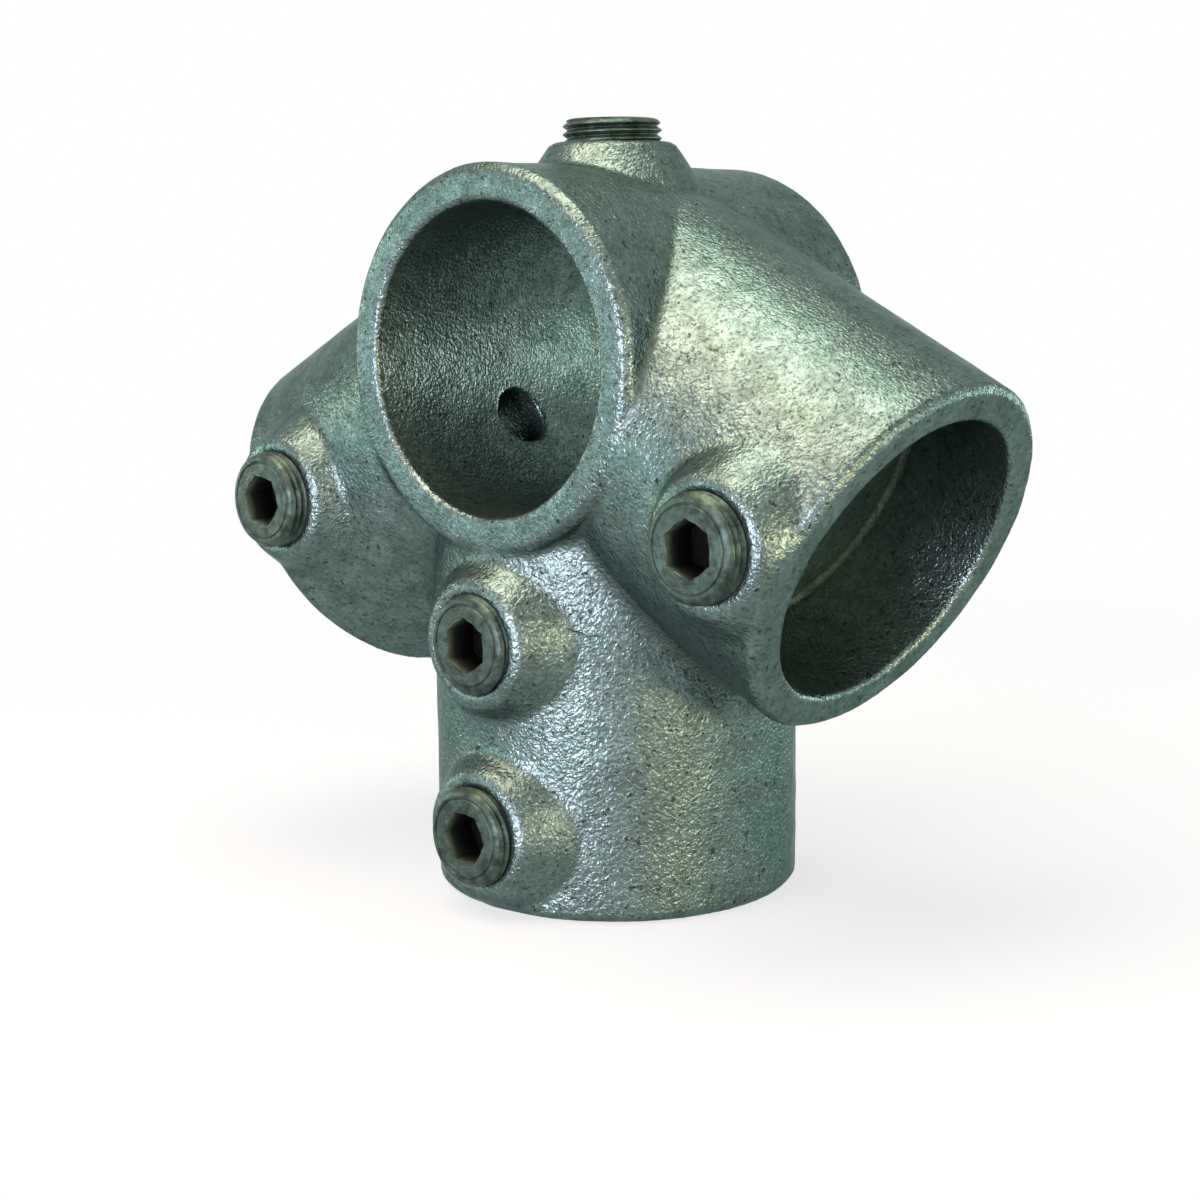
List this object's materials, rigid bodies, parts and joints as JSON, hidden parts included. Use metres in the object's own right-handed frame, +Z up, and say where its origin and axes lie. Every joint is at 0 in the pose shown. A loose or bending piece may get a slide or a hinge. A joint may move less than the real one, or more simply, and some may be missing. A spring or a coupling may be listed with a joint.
{
  "type": "ridge tube fitting",
  "caption": "Cast ridge fitting for round tube: a short through socket on top, an upright socket below and two rafter sockets sloping down, with hexagon-socket set screws.",
  "frame": {"origin": "the point where the axes of all four sockets meet, at the middle of the ridge bore", "axes": "+Z up, +Y along the ridge bore, -Z down the upright socket, +X and -X towards the rafter sockets, which slope down 27.5 degrees; the rafter and upright screws face -Y"},
  "size_m": [0.1446, 0.0692, 0.1285],
  "materials": {
    "galvanised_casting": "hot-dip galvanised, matt to satin",
    "screw_steel": "zinc-plated, satin"
  },
  "bodies": {
    "root": {"casting": "galvanised_casting", "ridge_set_screw": "screw_steel", "upright_set_screw_upper": "screw_steel", "upright_set_screw_lower": "screw_steel", "rafter_set_screw_right": "screw_steel", "rafter_set_screw_left": "screw_steel"}
  },
  "joints": []
}
